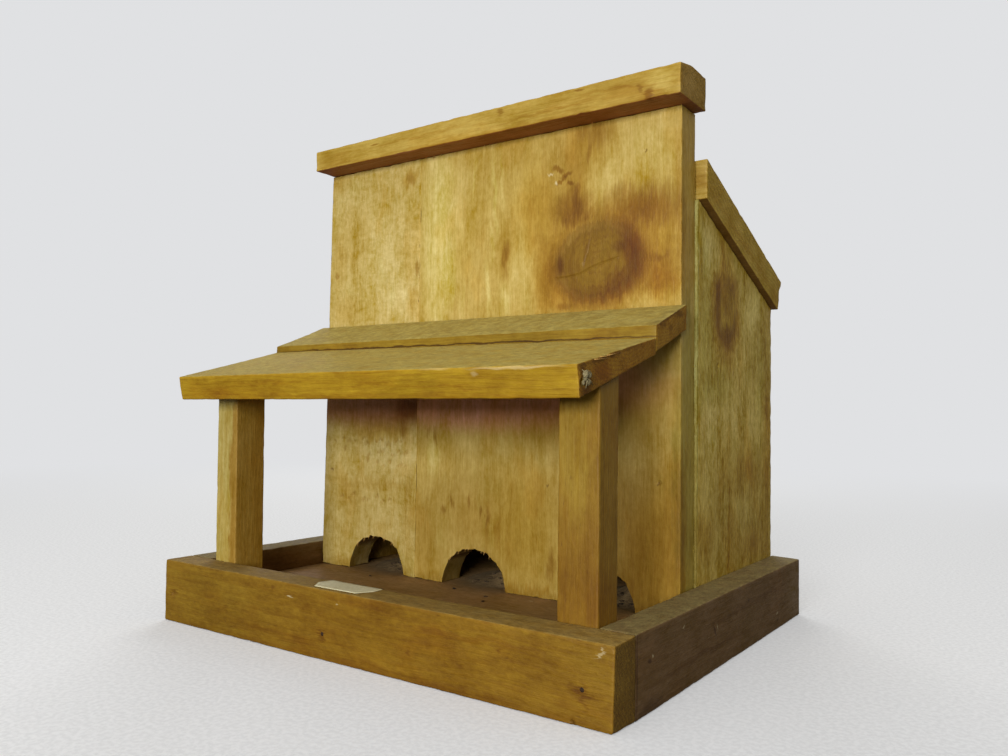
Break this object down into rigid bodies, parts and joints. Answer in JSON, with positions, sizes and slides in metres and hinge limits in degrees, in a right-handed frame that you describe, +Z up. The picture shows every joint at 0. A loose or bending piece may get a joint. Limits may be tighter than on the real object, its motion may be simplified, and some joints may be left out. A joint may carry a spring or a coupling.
{
  "type": "hopper bird feeder",
  "caption": "Wooden hopper bird feeder shaped like a small shop, with a false front, a porch on posts, a sloping roof and a railed seed tray with arched outlets.",
  "frame": {"origin": "middle of the base, on the underside of the floor board and the rails", "axes": "+X to the right along the front, +Y to the back, +Z up"},
  "size_m": [0.318, 0.2812, 0.3245],
  "materials": {
    "wall_wood": "varnished, pale honey yellow",
    "porch_wood": "varnished, dusty on top",
    "cap_wood": "varnished",
    "roof_wood": "varnished, dusty on top",
    "rail_wood": "varnished, browner",
    "floor_wood": "worn and dirty"
  },
  "bodies": {
    "root": {"tray_floor": "floor_wood", "front_rail": "rail_wood", "left_rail": "rail_wood", "right_rail": "rail_wood", "left_post": "wall_wood", "right_post": "wall_wood", "front_wall_narrow_board": "wall_wood", "front_wall_wide_board": "wall_wood", "left_wall": "wall_wood", "right_wall": "wall_wood", "back_wall": "wall_wood", "porch_lower_board": "porch_wood", "porch_upper_board": "porch_wood", "cap_strip": "cap_wood", "roof_board": "roof_wood"}
  },
  "joints": []
}
